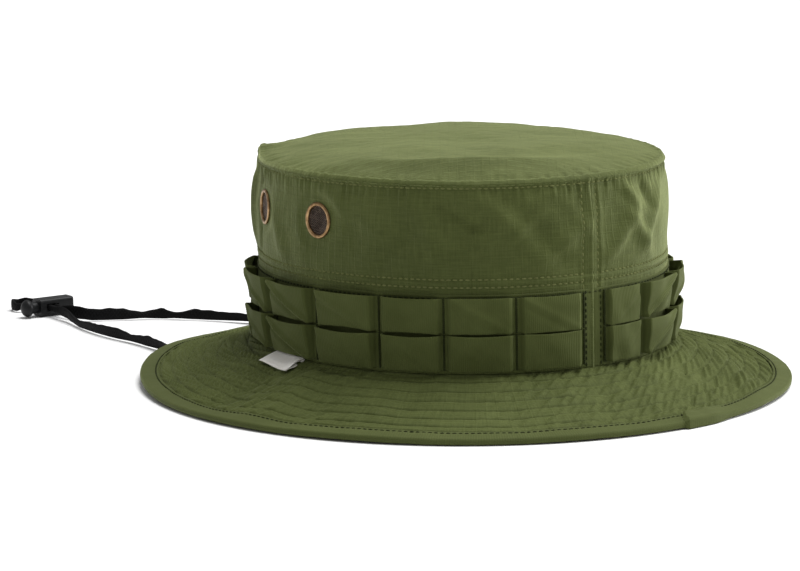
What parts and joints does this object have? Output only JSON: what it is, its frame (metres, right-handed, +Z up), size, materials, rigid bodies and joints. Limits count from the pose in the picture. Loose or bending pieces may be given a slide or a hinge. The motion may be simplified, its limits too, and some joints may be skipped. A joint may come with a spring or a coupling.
{
  "type": "boonie hat",
  "caption": "Soft wide-brimmed sun hat with an oval crown, two rows of foliage loops, mesh vents, a quilted brim and a chin cord with a spring lock.",
  "frame": {"origin": "on the surface that the hat stands on, under the middle of the crown", "axes": "+Z up, -Y to the hat's front, +X to the wearer's left"},
  "size_m": [0.2892, 0.4525, 0.1105],
  "materials": {
    "fabric_green": "olive green ripstop cloth",
    "tape_green": "olive green woven tape",
    "sweatband": "padded olive cloth",
    "interlining": "stiff white non-woven",
    "label": "cream woven tape, blank",
    "cord_black": "black flat braid",
    "lock_black": "moulded black plastic with a slight sheen",
    "spring_steel": "drawn spring wire",
    "antique_brass": "antique brass plating",
    "mesh_wire": "fine dark woven wire"
  },
  "bodies": {
    "hat": {"crown_top": "fabric_green", "crown_side_left": "fabric_green", "crown_side_right": "fabric_green", "crown_top_seam_tape": "tape_green", "rear_seam_tape": "tape_green", "front_seam_tape": "tape_green", "sweatband": "sweatband", "loop_band_left": "fabric_green", "loop_band_right": "fabric_green", "brim_upper": "fabric_green", "brim_interlining": "interlining", "brim_lower": "fabric_green", "brim_binding": "fabric_green", "side_label": "label", "chin_cord": "cord_black", "loop_tape_lower_left": "tape_green", "loop_tape_lower_right": "tape_green", "loop_tape_upper_left": "tape_green", "loop_tape_upper_right": "tape_green", "vent_eyelet_left_front": "antique_brass", "vent_washer_left_front": "antique_brass", "vent_mesh_left_front": "mesh_wire", "vent_eyelet_left_rear": "antique_brass", "vent_washer_left_rear": "antique_brass", "vent_mesh_left_rear": "mesh_wire", "vent_eyelet_right_front": "antique_brass", "vent_washer_right_front": "antique_brass", "vent_mesh_right_front": "mesh_wire", "vent_eyelet_right_rear": "antique_brass", "vent_washer_right_rear": "antique_brass", "vent_mesh_right_rear": "mesh_wire"},
    "cord_lock": {"cord_lock_barrel": "lock_black", "cord_lock_spring": "spring_steel"},
    "lock_plunger": {"cord_lock_plunger": "lock_black"}
  },
  "joints": [
    {"name": "cord_lock_slide", "type": "slide", "parent": "hat", "child": "cord_lock", "axis": [0, 1, 0], "range_m": [-0.003, 0.006]},
    {"name": "lock_plunger_press", "type": "slide", "parent": "cord_lock", "child": "lock_plunger", "axis": [-1, 0, 0], "range_m": [0, 0.0024], "stiffness_N_per_m": 600, "springref_m": -0.003, "deforming": ["cord_lock_spring"]}
  ]
}
